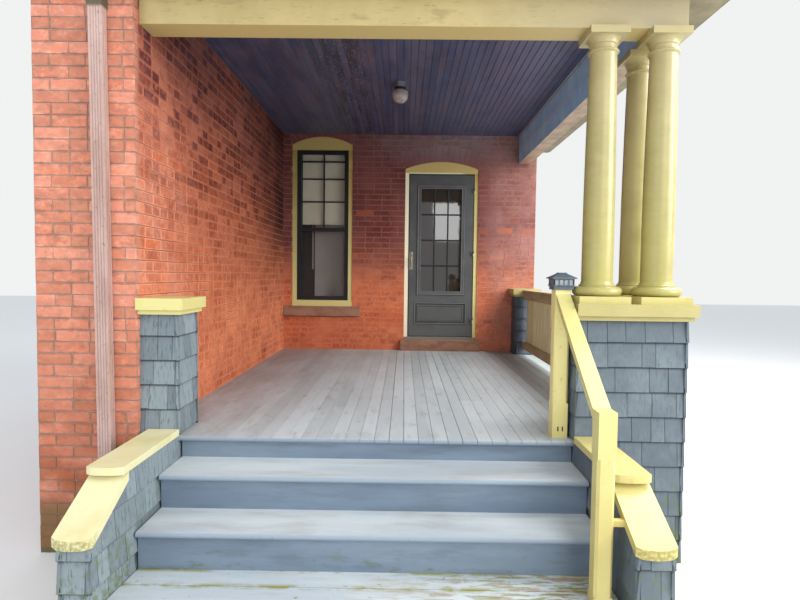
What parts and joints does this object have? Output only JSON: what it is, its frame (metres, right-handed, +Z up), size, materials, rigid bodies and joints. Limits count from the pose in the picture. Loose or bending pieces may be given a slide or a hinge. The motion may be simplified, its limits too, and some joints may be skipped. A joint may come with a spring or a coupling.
{
  "type": "front porch",
  "caption": "Front porch in the corner of a brick house: boarded deck and steps between shingled cheek walls and piers, round columns, boxed beams, low hipped roof, hinged door.",
  "frame": {"origin": "middle of the footprint, on the ground", "axes": "+Z up, +Y from the steps towards the back wall with the door, +X to the right seen from the steps"},
  "size_m": [3.968, 4.908, 4.31],
  "materials": {
    "brick": "rough fired clay",
    "downspout_paint": "satin paint",
    "yellow_paint": "satin paint, weathered",
    "sash_paint": "satin paint",
    "clear_glass": "clear",
    "sandstone": "rough",
    "door_paint": "satin paint",
    "handle_metal": "aged",
    "deck_paint": "worn paint",
    "shingle_paint": "weathered paint",
    "tread_paint": "worn paint",
    "riser_paint": "worn paint",
    "ceiling_paint": "matt paint",
    "light_glass": "satin",
    "roof_shingle": "grained",
    "weathered_wood": "weathered",
    "lantern_paint": "satin"
  },
  "bodies": {
    "porch": {"back_wall_by_window": "brick", "back_wall_right": "brick", "back_wall_over_door": "brick", "back_wall_under_door": "brick", "wing_wall": "brick", "downspout": "downspout_paint", "window_frame": "yellow_paint", "storm_sash": "sash_paint", "window_panes": "clear_glass", "window_sill_stone": "sandstone", "door_frame": "yellow_paint", "door_step_stone": "sandstone", "porch_deck": "deck_paint", "side_skirt": "shingle_paint", "top_tread": "tread_paint", "middle_tread": "tread_paint", "bottom_tread": "tread_paint", "step_risers": "riser_paint", "left_cheek_wall": "shingle_paint", "left_cheek_caps": "yellow_paint", "right_cheek_wall": "shingle_paint", "right_cheek_caps": "yellow_paint", "left_pier": "shingle_paint", "left_pier_cap": "yellow_paint", "corner_pier": "shingle_paint", "corner_pier_cap": "yellow_paint", "rear_pier": "shingle_paint", "rear_pier_cap": "yellow_paint", "column_left": "yellow_paint", "column_right": "yellow_paint", "column_rear": "yellow_paint", "front_beam": "yellow_paint", "side_beam": "yellow_paint", "ceiling_boards": "ceiling_paint", "ceiling_light": "light_glass", "eaves": "yellow_paint", "roof": "roof_shingle", "side_railing": "weathered_wood", "upper_newel": "yellow_paint", "newel_lantern": "lantern_paint", "handrail": "yellow_paint", "lower_newel": "yellow_paint"},
    "door": {"door_leaf": "door_paint", "door_panes": "clear_glass", "door_handle": "handle_metal"}
  },
  "joints": [
    {"name": "door_hinge", "type": "hinge", "parent": "porch", "child": "door", "pos_m": [0.9725, 2.14, 0.69], "axis": [0, 0, 1], "range_deg": [0, 100]}
  ]
}
